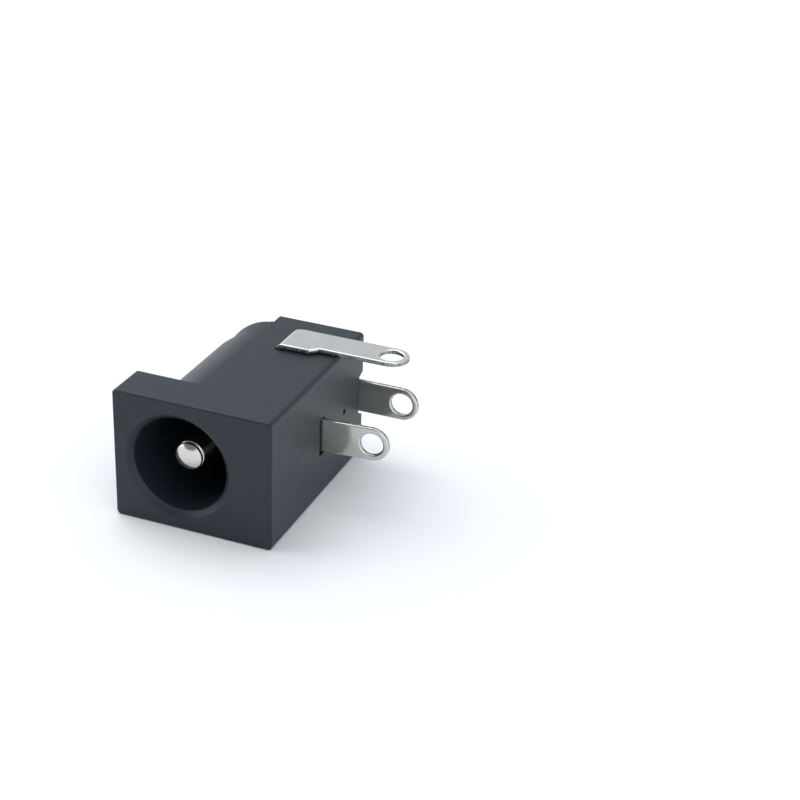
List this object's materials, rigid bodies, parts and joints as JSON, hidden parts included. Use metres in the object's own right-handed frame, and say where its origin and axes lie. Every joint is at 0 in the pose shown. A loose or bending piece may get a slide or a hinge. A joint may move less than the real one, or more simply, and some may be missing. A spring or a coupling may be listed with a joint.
{
  "type": "dc barrel jack",
  "caption": "Power socket with a centre pin in a round bore, a sleeve spring, a switch contact and flat solder lugs with eyes.",
  "frame": {"origin": "where the socket's axis crosses the front face of the housing", "axes": "-Y is the way the plug leaves, +X is the outward normal of the board face and the way all the lugs point, +Z is the side wall that carries the switch lug; the jack lies on its other side wall, as pictured, so a parent that puts it on a board turns it by board_face"},
  "size_m": [0.0156, 0.0146, 0.0094],
  "materials": {
    "black_plastic": "moulded, satin",
    "plated_pin": "turned, nickel plated, polished",
    "plated_strip": "stamped strip, nickel plated, bright"
  },
  "bodies": {
    "root": {"housing": "black_plastic", "centre_pin": "plated_pin", "pin_terminal": "plated_strip", "sleeve_spring": "plated_strip", "switch_terminal": "plated_strip"}
  },
  "joints": []
}
